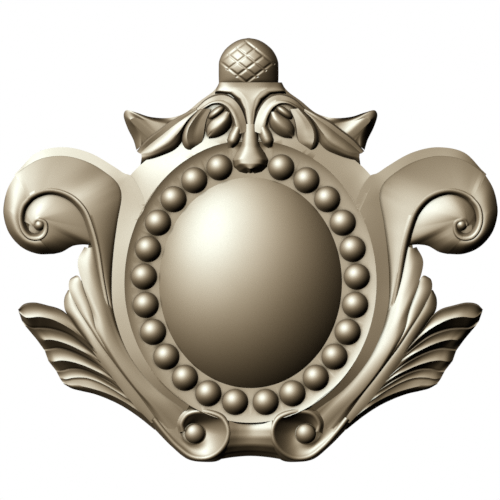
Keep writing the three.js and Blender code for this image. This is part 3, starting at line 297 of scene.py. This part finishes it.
FUNNEL = [
    [[220.6, 82.8, 4], [216.8, 87, 5], [214.8, 94, 10], [228.6, 95.2, 12.4], [238, 101, 12.8],
    [243.6, 110.6, 13], [247.2, 130, 13]],
    [[219.6, 82.4, 11.6], [218.6, 86.4, 12.4], [216, 91.4, 13.8], [230, 92.4, 16.8],
    [239.6, 98.6, 18.4], [245, 109, 19.4], [248.4, 130, 20.8]],
    [[230, 82.4, 16.6], [230.4, 86.4, 16.4], [231, 88.6, 16.7], [239, 91, 17.8], [245.4, 99, 19.2],
    [248.2, 112, 20.2], [249.4, 130, 21.4]],
    [[250.5, 82.4, 17.6], [250.5, 87, 17.4], [250.5, 92, 17.8], [250.5, 98, 18.9], [250.5, 105, 20],
    [250.5, 116, 20.6], [250.5, 130, 21.6]],
]
# Pendant over the rim of the medallion, the left half of each rail
PENDANT = [
    [[242.8, 124, 14], [244.6, 124, 19.4], [246.6, 124, 20.8], [250.5, 124, 21.2]],
    [[241.4, 136, 15], [243.4, 136, 20], [246.2, 136, 21.8], [250.5, 136, 22.4]],
    [[239.6, 146, 16], [242, 146.4, 20.4], [245.4, 147, 22.8], [250.5, 147, 23.4]],
    [[234.6, 153, 17], [237.6, 153.4, 20.2], [243, 153.4, 23.4], [250.5, 153, 24.2]],
    [[231.6, 160, 17.4], [234.6, 160, 20.4], [239.8, 159, 23.8], [250.5, 158.6, 24.8]],
    [[232.6, 167.4, 17.4], [235.8, 166.2, 20], [240.8, 163.8, 24.2], [250.5, 163.8, 25.4]],
    [[238.4, 172.8, 17.4], [240.6, 170.6, 19.8], [245.6, 167.8, 24], [250.5, 168.4, 25.2]],
    [[246, 175, 17.4], [246.6, 173.6, 18.4], [248.4, 172.6, 19], [250.5, 173.4, 19]],
]
# Finial: half width and crown height by row
FINIAL_AXIS = 248.6  # it leans a little to the left of the line of symmetry
FINIAL = [[38, 0.6, 5], [39.5, 8.5, 8], [43.5, 16.5, 11.6], [51, 24.6, 15.4], [61, 29.4, 18],
    [69, 29.9, 18.4], [77, 29.9, 17.2], [83.4, 29.7, 15.4]]
# Lattice cut into the front of the finial
LATTICE_WIDTH = 1.1
LATTICE_DEPTH = 0.7
LATTICE_TOP = (246, 42)  # its upper corner
LATTICE_A, LATTICE_B = (8.8, 6.9), (-8.6, 6.5)  # one cell down to the right and down to the left
LATTICE_CELLS = 3
LATTICE_REACH = (-0.1, 0.25)  # where its lines begin, and how far they run past the last cell
SAW_SIZE = 1.0  # block behind the back that cuts it flat, in metres
SMOOTH_ANGLE = 38  # sharper edges stay crisp
BACK_FACING = 0.99  # faces turned this much to the back belong to the flat back
# Floor for the pictures, in metres
FLOOR_LEVEL = -0.16
FLOOR_HALF = 2.0
FLOOR_COLOUR = (0.8, 0.79, 0.77, 1)
FLOOR_ROUGHNESS = 0.8
# Camera straight in front, distances in metres
PHOTO_SIDE = 500  # squares of the paper over the picture's width and height
CAMERA_DISTANCE = 1.5
CAMERA_REACH = 10
# Soft lights: turned from the front to the right and up in degrees, strength and how narrow it is
SOFT_LIGHTS = [(-38, 31, 0.41, 6.0), (-32, 36, 0.68, 1.8), (-121, 28, 0.2, 2.9), (-70, 60, 0.19, 7.0)]
LIGHT_LOSS = 0.027  # taken off everywhere, so that the side away from the lights goes dark
# Share of the red where it is dim, and what it gains: dim light is warm, bright light white
LIGHT_GREEN = (0.77, 0.33)
LIGHT_BLUE = (0.51, 0.7)
LIGHT_STRENGTH = 1.85
# Finish of the metal, and the shade painted into its creases
BRASS_DARK = (0.55, 0.5, 0.39, 1)
BRASS_LIGHT = (0.59, 0.54, 0.43, 1)
# Painted shade: the brown-black laid into the creases where the light does not reach
CREASE_SHADE = (0.1, 0.08, 0.045, 1)
CREASE_REACH = 3  # how near another surface makes a place count as a crease
CREASE_OPEN = (0.2, 0.7)  # how open a place is where the painted shade is full, and where it ends
CREASE_SAMPLES = 8
CLOUD_SCALE = 18  # clouds and grain to the metre
CLOUD_DETAIL = 3
CLOUD_EDGES = (0.35, 0.65)
GRAIN_SCALE = 900
GRAIN_DETAIL = 4
GRAIN_EDGES = (0.3, 0.7)
GRAIN_STRENGTH = 0.02
GRAIN_DEPTH = 0.0001
ROUGHNESS = (0.26, 0.31)


def spot(point):
    """A point of the squared paper, in metres."""
    column, row, height = point[:3]
    return Vector(((column - AXIS) * SQUARE, -height * RISE, (CENTRE - row) * SQUARE)) * MM


def along(value, t):
    """A number stays the same, a list is passed through evenly from 0 to 1."""
    if not isinstance(value, (list, tuple)):
        return value
    p = t * (len(value) - 1)
    i = min(int(p), len(value) - 2)
    return value[i] + (value[i + 1] - value[i]) * (p - i)


def spline(points):
    """Smooth curve through the points, as a function of 0 to 1."""
    first, last = 2 * points[0] - points[1], 2 * points[-1] - points[-2]
    knots = [first] + list(points) + [last]

    def at(t):
        p = max(0.0, min(1.0, t)) * (len(points) - 1)
        i = min(int(p), len(points) - 2)
        w = p - i
        a, b, c, d = knots[i:i + 4]
        ab, bc, cd = (max(1e-5, (q - r).length) ** 0.5 for q, r in ((b, a), (c, b), (d, c)))
        m1 = (b - a) / ab - (c - a) / (ab + bc) + (c - b) / bc
        m2 = (c - b) / bc - (d - b) / (bc + cd) + (d - c) / cd
        m1, m2 = m1 * bc, m2 * bc
        return b + m1 * w + (3 * (c - b) - 2 * m1 - m2) * w ** 2 + (2 * (b - c) + m1 + m2) * w ** 3

    return at


def beside(line, offset, drop):
    """A rail that runs beside another, to the left of its run and lower by drop, in millimetres."""
    rail = []
    for k, (c, r, h) in enumerate(line):
        a, b = line[max(0, k - 1)], line[min(len(line) - 1, k + 1)]
        dc, dr = b[0] - a[0], b[1] - a[1]
        reach = offset / SQUARE / math.hypot(dc, dr)
        rail.append([c + dr * reach, r - dc * reach, h - drop / RISE])
    return rail


made = {"whole": [], "half": []}


def keep(bm, side):
    """Turns the faces outward and puts the piece with the whole or the left half ones."""
    bmesh.ops.recalc_face_normals(bm, faces=bm.faces[:])
    made[side].append(bm)


def deepen(bm, floor):
    """Gives a sheet straight walls down to the floor behind it, in millimetres above the back."""
    deep = bmesh.ops.extrude_face_region(bm, geom=bm.faces[:])
    for v in deep["geom"]:
        if isinstance(v, bmesh.types.BMVert):
            v.co.y = -floor * MM


def sheet(place, rows, columns, side="half", floor=-SPARE):
    """A grid of squares moved to place(s, t), then deepened."""
    bm = bmesh.new()
    bmesh.ops.create_grid(bm, x_segments=columns, y_segments=rows, size=0.5)
    for v in bm.verts:
        v.co = place(v.co.x + 0.5, v.co.y + 0.5)
    deepen(bm, floor)
    keep(bm, side)


def loft(rails, steps, across=1, sag=0, side="half", floor=-SPARE):
    """Surface carried by rails; across and sag are one number or one per gap between rails."""
    curves = [spline([spot(p) for p in rail]) for rail in rails]
    gaps = len(rails) - 1
    parts = across if isinstance(across, list) else [across] * gaps
    sags = sag if isinstance(sag, list) else [sag] * gaps
    spans = [(g, j / parts[g]) for g in range(gaps) for j in range(parts[g])] + [(gaps - 1, 1.0)]

    def place(s, t):
        g, w = spans[round(s * (len(spans) - 1))]
        p = curves[g](t).lerp(curves[g + 1](t), w)
        p.y -= along(sags[g], t) * RISE * MM * 4 * w * (1 - w)
        return p

    sheet(place, steps, len(spans) - 1, side, floor)


def roll(line, steps, drop, across=8, side="half", floor=-SPARE):
    """Rounded roll along a line of column, row, height and half width; drop is crown to foot."""
    curve = spline([spot(p) for p in line])
    near = 0.004  # how far before and behind a place its direction is taken

    def place(s, t):
        ahead = curve(t + near) - curve(t - near)
        sideways = Vector((ahead.z, 0, -ahead.x)).normalized()
        turn = math.pi * s
        half = along([p[3] for p in line], t) * SQUARE * MM
        p = curve(t) - sideways * math.cos(turn) * half
        p.y += along(drop, t) * RISE * MM * (1 - math.sin(turn))
        return p

    sheet(place, steps, across, side, floor)


def mound(middle, half_x, half_z, rise, around=48, levels=24, turn=0.0, side="half", floor=-SPARE):
    """Half an ellipsoid with its foot carried down to the floor. Sizes in millimetres."""
    bm = bmesh.new()
    bmesh.ops.create_uvsphere(bm, u_segments=around, v_segments=levels, radius=1.0)
    for v in bm.verts:
        x, z, up = v.co.x * half_x * MM, v.co.y * half_z * MM, v.co.z
        spin = Vector((x * math.cos(turn) - z * math.sin(turn), 0, x * math.sin(turn) + z * math.cos(turn)))
        if up < -1e-4:
            v.co = Vector((middle.x + spin.x, -floor * MM, middle.z + spin.z))
        else:
            v.co = middle + spin - Vector((0, up * rise * MM, 0))
    keep(bm, side)


def disc(levels, around=160):
    """Ovals one inside the other down to a point, the outermost first: half sizes, lift and height."""
    bm = bmesh.new()
    bmesh.ops.create_grid(bm, x_segments=around, y_segments=len(levels) - 1, size=0.5)
    for v in bm.verts:
        half_x, half_z, lift, height = levels[round((v.co.y + 0.5) * (len(levels) - 1))]
        turn = 2 * math.pi * (v.co.x + 0.5)
        tall = half_z + (lift if math.sin(turn) > 0 else 0)
        v.co = Vector((math.cos(turn) * half_x, -height, math.sin(turn) * tall)) * MM
    bmesh.ops.remove_doubles(bm, verts=bm.verts[:], dist=WELD * MM)
    deepen(bm, -SPARE)
    keep(bm, "whole")


# Ovals of the medallion, half sizes
dome_x, dome_z = DOME_WIDTH / 2, DOME_LENGTH / 2
ring_x, ring_z = dome_x + BEAD_GAP + BEAD / 2, dome_z + BEAD_GAP + BEAD / 2
channel_x, channel_z = ring_x + BEAD / 2, ring_z + BEAD / 2
bevel_x, bevel_z = channel_x + BEVEL_WIDTH, channel_z + BEVEL_WIDTH
bevel_top = CHANNEL_FLOOR + BEVEL_HEIGHT


def bevel_spot(degrees, height=None):
    """Point of the bevel's edge on the squared paper, counter-clockwise from the right."""
    turn = math.radians(degrees)
    tall = bevel_z + (BEVEL_LIFT if math.sin(turn) > 0 else 0) - LAP
    height = bevel_top / RISE if height is None else height
    column = AXIS + math.cos(turn) * (bevel_x - LAP) / SQUARE
    return [column, CENTRE - math.sin(turn) * tall / SQUARE, height]


def medallion():
    disc([
        (bevel_x, bevel_z, BEVEL_LIFT, bevel_top - BEVEL_HEIGHT),
        (bevel_x - LAP, bevel_z - LAP, BEVEL_LIFT, bevel_top),
        (channel_x, channel_z, BEVEL_LIFT, CHANNEL_FLOOR),
        (0, 0, 0, CHANNEL_FLOOR),
    ])
    floor = CHANNEL_FLOOR - BURIED
    rise = DOME_RISE + DOME_SINK
    swell = 1 / math.sqrt(1 - (DOME_SINK / rise) ** 2)
    mound(Vector((0, DOME_SINK - CHANNEL_FLOOR, 0)) * MM, dome_x * swell, dome_z * swell, rise,
        around=160, levels=80, side="whole", floor=floor - DOME_SINK)
    samples = 1440
    run, last, stops = 0.0, None, []
    for k in range(samples + 1):
        a = math.pi / 2 + math.pi * k / samples
        p = Vector((math.cos(a) * ring_x, 0, math.sin(a) * ring_z))
        run += (p - last).length if last else 0.0
        stops.append((run, p))
        last = p
    pitch = (run - BEAD_TOP_SPACE - BEAD_FOOT_SPACE) / (BEADS_PER_SIDE - 1)
    for b in range(BEADS_PER_SIDE):
        p = next(p for r, p in stops if r >= BEAD_TOP_SPACE + pitch * b)
        middle = Vector((p.x, -CHANNEL_FLOOR - BEAD_SINK, p.z)) * MM
        mound(middle, BEAD / 2, BEAD / 2, BEAD / 2, around=32, levels=16, floor=floor)


def cord(line):
    """Rounded cord along a line, with the steep side of the crease to its left."""
    arch = [beside(line, CORD_WIDTH / 2 * place, -CORD_RISE * share) for place, share in CORD_ARCH]
    crease = [beside(line, CORD_WIDTH, CORD_STEP), beside(line, CORD_WIDTH + CREASE_WIDTH, CORD_DROP)]
    return [line] + arch + crease


def flat(points):
    """A rail of columns and rows at the height of the ground."""
    return [[c, r, GROUND_HEIGHT / RISE] for c, r in points]


def ground():
    oval = [bevel_spot(a, GROUND_HEIGHT / RISE) for a in GROUND_TURNS]
    loft([flat(GROUND), oval], steps=24)
    column, row, half_x, half_z = VOLUTE_GROUND
    middle = spot([column, row, GROUND_HEIGHT / RISE - GROUND_BULGE])
    mound(middle, half_x * SQUARE, half_z * SQUARE, GROUND_BULGE, around=32, levels=4)


def plate():
    oval = [bevel_spot(a) for a in PLATE_TURNS]
    loft([oval + STRIP, RIDGE], steps=130, across=5)
    loft([[bevel_spot(a) for a in THROAT_TURNS], THROAT_TOP], steps=30, across=4)


def volute():
    turns = ((HOLLOW, SPIRAL, HOLLOW_SAG, 120, 14), (TIP_EDGE, TIP_SPIRAL, TIP_SAG, 60, 10),
        (SHELL_EDGE, SHELL_SPIRAL, SHELL_SAG, 90, 12))
    for edge, line, sag, steps, across in turns:
        rails = [edge] + cord(line)
        narrow = len(rails) - 2
        loft(rails, steps, [across] + [1] * narrow, [sag] + [0] * narrow)
    roll(CORD_TAIL, steps=20, drop=CORD_TAIL_DROP, across=6)
    mound(spot(POCKET), POCKET_SIZE / 2, POCKET_SIZE / 2, POCKET_RISE, around=24, levels=4)
    mound(spot(EYE_SPOT), EYE_SIZE / 2, EYE_SIZE / 2, EYE_RISE * RISE, around=24, levels=12)


def wing():
    loft([STEM_RIGHT, STEM_RIDGE, STEM_CROWN, STEM_LEFT], steps=60, across=[4, 5, 5], sag=STEM_SAG)
    for leaf in LEAVES:
        loft(leaf, steps=50, across=8, sag=[SMALL_LEAF_SAG])
    loft(WING, steps=60, across=[2, 6, 4, 1, 6, 4, 1, 6, 4, 1, 6, 2, 6, 3], sag=FEATHER_SAG)


def mirrored(rail):
    """A rail of the left half carried on over the right half."""
    return rail + [[2 * AXIS - c, r, h] for c, r, h in rail[-2::-1]]


def scroll():
    lip = [beside(SCROLL_LIP, LIP_WIDTH * place, -LIP_RISE * share) for place, share in LIP_ARCH]
    sags = [0, 0, 0, 0, 0, BELL_SAG]
    loft([SCROLL_FOOT] + lip + [SCROLL_EYE], steps=110, across=[4, 1, 1, 1, 1, 8], sag=sags)
    eye, hollow, ball = spot(SCROLL_EYE_FLOOR), SCROLL_HOLLOW_SIZE / 2, SCROLL_EYE_SIZE / 2
    mound(eye, hollow, hollow, SCROLL_HOLLOW_RISE, around=32, levels=4)
    mound(eye, ball, ball, SCROLL_EYE_RISE * RISE, around=32, levels=16)
    loft([mirrored(rail) for rail in SADDLE], steps=48, across=4, side="whole")


def finial():
    curve = spline([
        Vector((half * SQUARE, -height * RISE, (CENTRE - row) * SQUARE)) for row, half, height in FINIAL])
    shift = (FINIAL_AXIS - AXIS) * SQUARE

    def place(s, t):
        p = curve(t)
        turn = math.pi * s
        x = shift - math.cos(turn) * p.x
        y = -EDGE + (p.y + EDGE) * math.sin(turn)
        return Vector((x, y + groove(x, p.z), p.z)) * MM

    sheet(place, rows=110, columns=110, side="whole")


def groove(x, z):
    """Depth of the incised lattice at a place on the finial's front."""
    c, r = AXIS + x / SQUARE - LATTICE_TOP[0], CENTRE - z / SQUARE - LATTICE_TOP[1]
    (ax, ay), (bx, by) = LATTICE_A, LATTICE_B
    area = ax * by - ay * bx
    i, j = (c * by - r * bx) / area, (ax * r - ay * c) / area
    deep = 0.0
    for p, q, step in ((i, j, math.hypot(bx, by)), (j, i, math.hypot(ax, ay))):
        near = max(0, min(LATTICE_CELLS, round(p)))
        off = abs(p - near) * abs(area) / step * SQUARE
        inside = LATTICE_REACH[0] <= q <= LATTICE_CELLS + LATTICE_REACH[1]
        if inside and off < LATTICE_WIDTH:
            deep = max(deep, LATTICE_DEPTH * (1 - off / LATTICE_WIDTH))
    return deep


def crest():
    loft([CREST_OUTLINE, CREST_BROW, CREST_FLOOR], steps=70, across=[10, 2], sag=[BROW_SAG, 0])
    loft([mirrored(rail) for rail in CREST_BED], steps=2, side="whole")
    loft(FRONT_LEAF, steps=40, across=[3, 3, 8, 3, 5], sag=LEAF_SAG)
    loft(ARCH, steps=60, across=[3, 3, 6, 6], sag=[0, 0, 0.3, 0.8])
    roll(DROP, steps=40, drop=DROP_RISE, across=16)
    loft(SPOON, steps=30, across=[3, 3, 4, 4, 4], sag=SPOON_SAG)
    loft(BEAN, steps=30, across=[3, 8, 8, 3], sag=BEAN_SAG)
    lobe = spot(LOBE)
    mound(lobe, LOBE_WIDTH / 2, LOBE_HEIGHT / 2, LOBE_RISE * RISE, around=32, levels=16, turn=LOBE_TURN)
    loft([mirrored(rail) for rail in map(list, zip(*FUNNEL))], steps=60, side="whole")
    loft([mirrored(rail) for rail in PENDANT], steps=60, across=6, side="whole")
    finial()


def add_object(name, bm):
    """A new object from a finished bmesh, which is freed."""
    mesh = bpy.data.meshes.new(name)
    bm.to_mesh(mesh)
    bm.free()
    piece = bpy.data.objects.new(name, mesh)
    bpy.context.scene.collection.objects.link(piece)
    return piece


def joined(name, pieces):
    """One object in the place of several: the first, with the others united into it."""
    base, others = pieces[0], pieces[1:]
    for k, other in enumerate(others):
        union = base.modifiers.new("join_%02d" % k, "BOOLEAN")
        union.operation, union.solver, union.object = "UNION", "MANIFOLD", other
    mesh = bpy.data.meshes.new_from_object(base.evaluated_get(bpy.context.evaluated_depsgraph_get()))
    for piece in pieces:
        bpy.data.objects.remove(piece)
    result = bpy.data.objects.new(name, mesh)
    bpy.context.scene.collection.objects.link(result)
    return result


medallion()
ground()
plate()
volute()
wing()
scroll()
crest()

left = joined("left_half", [add_object("left_%02d" % k, bm) for k, bm in enumerate(made["half"])])
turned = bmesh.new()
turned.from_mesh(left.data)
bmesh.ops.scale(turned, vec=(-1, 1, 1), verts=turned.verts[:])
bmesh.ops.reverse_faces(turned, faces=turned.faces[:])
right = add_object("right_half", turned)
middle = [add_object("middle_%02d" % k, bm) for k, bm in enumerate(made["whole"])]
body = joined("cartouche_body", middle + [left, right])
block = bmesh.new()
bmesh.ops.create_cube(block, size=SAW_SIZE)
bmesh.ops.translate(block, vec=(0, SAW_SIZE / 2, 0), verts=block.verts[:])
saw = add_object("saw", block)
cut = body.modifiers.new("back_cut", "BOOLEAN")
cut.operation, cut.solver, cut.object = "DIFFERENCE", "MANIFOLD", saw
mesh = bpy.data.meshes.new_from_object(body.evaluated_get(bpy.context.evaluated_depsgraph_get()))
for spare in (body, saw):
    bpy.data.objects.remove(spare)
cartouche = bpy.data.objects.new("cartouche_carving", mesh)
bpy.context.scene.collection.objects.link(cartouche)
mesh.name = "cartouche_carving"
print("faces", len(mesh.polygons), "triangles", sum(len(p.vertices) - 2 for p in mesh.polygons))
mesh.shade_smooth()
mesh.set_sharp_from_angle(angle=math.radians(SMOOTH_ANGLE))
for face in mesh.polygons:
    face.use_smooth = face.normal.y < BACK_FACING


def brass():
    """Satin antique brass: clouded by age, with shade painted brown-black into the creases."""
    material = bpy.data.materials.new("antique_brass")
    material.use_nodes = True
    nodes, links = material.node_tree.nodes, material.node_tree.links
    shader = nodes["Principled BSDF"]
    shader.inputs["Metallic"].default_value = 1.0
    place = nodes.new("ShaderNodeTexCoord")

    def clouds(size, detail):
        node = nodes.new("ShaderNodeTexNoise")
        node.inputs["Scale"].default_value = size
        node.inputs["Detail"].default_value = detail
        links.new(place.outputs["Object"], node.inputs["Vector"])
        return node.outputs["Fac"]

    def spread(value, low, high, to_low, to_high):
        node = nodes.new("ShaderNodeMapRange")
        for name, number in zip(("From Min", "From Max", "To Min", "To Max"), (low, high, to_low, to_high)):
            node.inputs[name].default_value = number
        links.new(value, node.inputs["Value"])
        return node.outputs["Result"]

    def blend(share, first, second):
        node = nodes.new("ShaderNodeMix")
        node.data_type = "RGBA"
        links.new(share, node.inputs["Factor"])
        for socket, colour in (("A_Color", first), ("B_Color", second)):
            socket = next(s for s in node.inputs if s.identifier == socket)
            if isinstance(colour, tuple):
                socket.default_value = colour
            else:
                links.new(colour, socket)
        return next(s for s in node.outputs if s.identifier == "Result_Color")

    def openness(reach):
        node = nodes.new("ShaderNodeAmbientOcclusion")
        node.samples = CREASE_SAMPLES
        node.only_local = True
        node.inputs["Distance"].default_value = reach * MM
        return node.outputs["AO"]

    colour = blend(spread(clouds(CLOUD_SCALE, CLOUD_DETAIL), *CLOUD_EDGES, 0, 1), BRASS_DARK, BRASS_LIGHT)
    # Painted shade: places closed in by nearby surfaces take the brown-black shade colour
    colour = blend(spread(openness(CREASE_REACH), *CREASE_OPEN, 1, 0), colour, CREASE_SHADE)
    links.new(colour, shader.inputs["Base Color"])
    gloss = spread(clouds(GRAIN_SCALE, GRAIN_DETAIL), *GRAIN_EDGES, *ROUGHNESS)
    links.new(gloss, shader.inputs["Roughness"])
    grain = nodes.new("ShaderNodeBump")
    grain.inputs["Strength"].default_value = GRAIN_STRENGTH
    grain.inputs["Distance"].default_value = GRAIN_DEPTH
    links.new(clouds(GRAIN_SCALE, GRAIN_DETAIL), grain.inputs["Height"])
    links.new(grain.outputs["Normal"], shader.inputs["Normal"])
    return material


cartouche.data.materials.clear()
cartouche.data.materials.append(brass())
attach(cartouche, "root")
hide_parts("cartouche")

floor_bm = bmesh.new()
bmesh.ops.create_grid(floor_bm, x_segments=1, y_segments=1, size=FLOOR_HALF)
for v in floor_bm.verts:
    v.co.z = FLOOR_LEVEL
floor = add_object("floor", floor_bm)
pale = bpy.data.materials.new("pale_floor")
pale.use_nodes = True
paint = pale.node_tree.nodes["Principled BSDF"]
paint.inputs["Base Color"].default_value = FLOOR_COLOUR
paint.inputs["Roughness"].default_value = FLOOR_ROUGHNESS
floor.data.materials.append(pale)
floor.visible_glossy = False
cartouche.visible_glossy = False

world = bpy.data.worlds.new("soft_studio")
bpy.context.scene.world = world
world.use_nodes = True
nodes, links = world.node_tree.nodes, world.node_tree.links
nodes.clear()
out = nodes.new("ShaderNodeOutputWorld")
where = nodes.new("ShaderNodeTexCoord")


def reckon(kind, first, second):
    """A math node fed with sockets or numbers."""
    node = nodes.new("ShaderNodeMath")
    node.operation = kind
    for k, value in enumerate((first, second)):
        if isinstance(value, (int, float)):
            node.inputs[k].default_value = value
        elif value is not None:
            links.new(value, node.inputs[k])
    return node.outputs["Value"]


glow = 0.0
for turn, tilt, strength, narrow in SOFT_LIGHTS:
    turn, tilt = math.radians(turn), math.radians(tilt)
    toward = nodes.new("ShaderNodeVectorMath")
    toward.operation = "DOT_PRODUCT"
    across, down = math.sin(turn) * math.cos(tilt), -math.cos(turn) * math.cos(tilt)
    toward.inputs[1].default_value = (across, down, math.sin(tilt))
    links.new(where.outputs["Generated"], toward.inputs[0])
    away = reckon("MULTIPLY", reckon("SUBTRACT", toward.outputs["Value"], 1.0), narrow)
    glow = reckon("ADD", reckon("MULTIPLY", reckon("EXPONENT", away, None), strength), glow)
glow = reckon("MAXIMUM", reckon("SUBTRACT", glow, LIGHT_LOSS), 0.0)
tint = nodes.new("ShaderNodeCombineColor")
for name, dim, bright in (("Red", 1, 0), ("Green", *LIGHT_GREEN), ("Blue", *LIGHT_BLUE)):
    share = reckon("ADD", reckon("MULTIPLY", glow, bright), dim)
    links.new(reckon("MULTIPLY", glow, share), tint.inputs[name])
soft = nodes.new("ShaderNodeBackground")
soft.inputs["Strength"].default_value = LIGHT_STRENGTH
white = nodes.new("ShaderNodeBackground")
white.inputs["Color"].default_value = (1, 1, 1, 1)
path = nodes.new("ShaderNodeLightPath")
mix = nodes.new("ShaderNodeMixShader")
links.new(tint.outputs["Color"], soft.inputs["Color"])
links.new(path.outputs["Is Camera Ray"], mix.inputs["Fac"])
links.new(soft.outputs["Background"], mix.inputs[1])
links.new(white.outputs["Background"], mix.inputs[2])
links.new(mix.outputs["Shader"], out.inputs["Surface"])

camera_data = bpy.data.cameras.new("camera")
camera_data.type = "ORTHO"
camera_data.ortho_scale = PHOTO_SIDE * SQUARE * MM
camera_data.clip_end = CAMERA_REACH
camera = bpy.data.objects.new("camera", camera_data)
bpy.context.scene.collection.objects.link(camera)
half = PHOTO_SIDE / 2
camera.location = ((half - AXIS) * SQUARE * MM, -CAMERA_DISTANCE, (CENTRE - half) * SQUARE * MM)
camera.rotation_euler = (math.pi / 2, 0, 0)
bpy.context.scene.camera = camera
bpy.context.scene.view_settings.view_transform = "Standard"
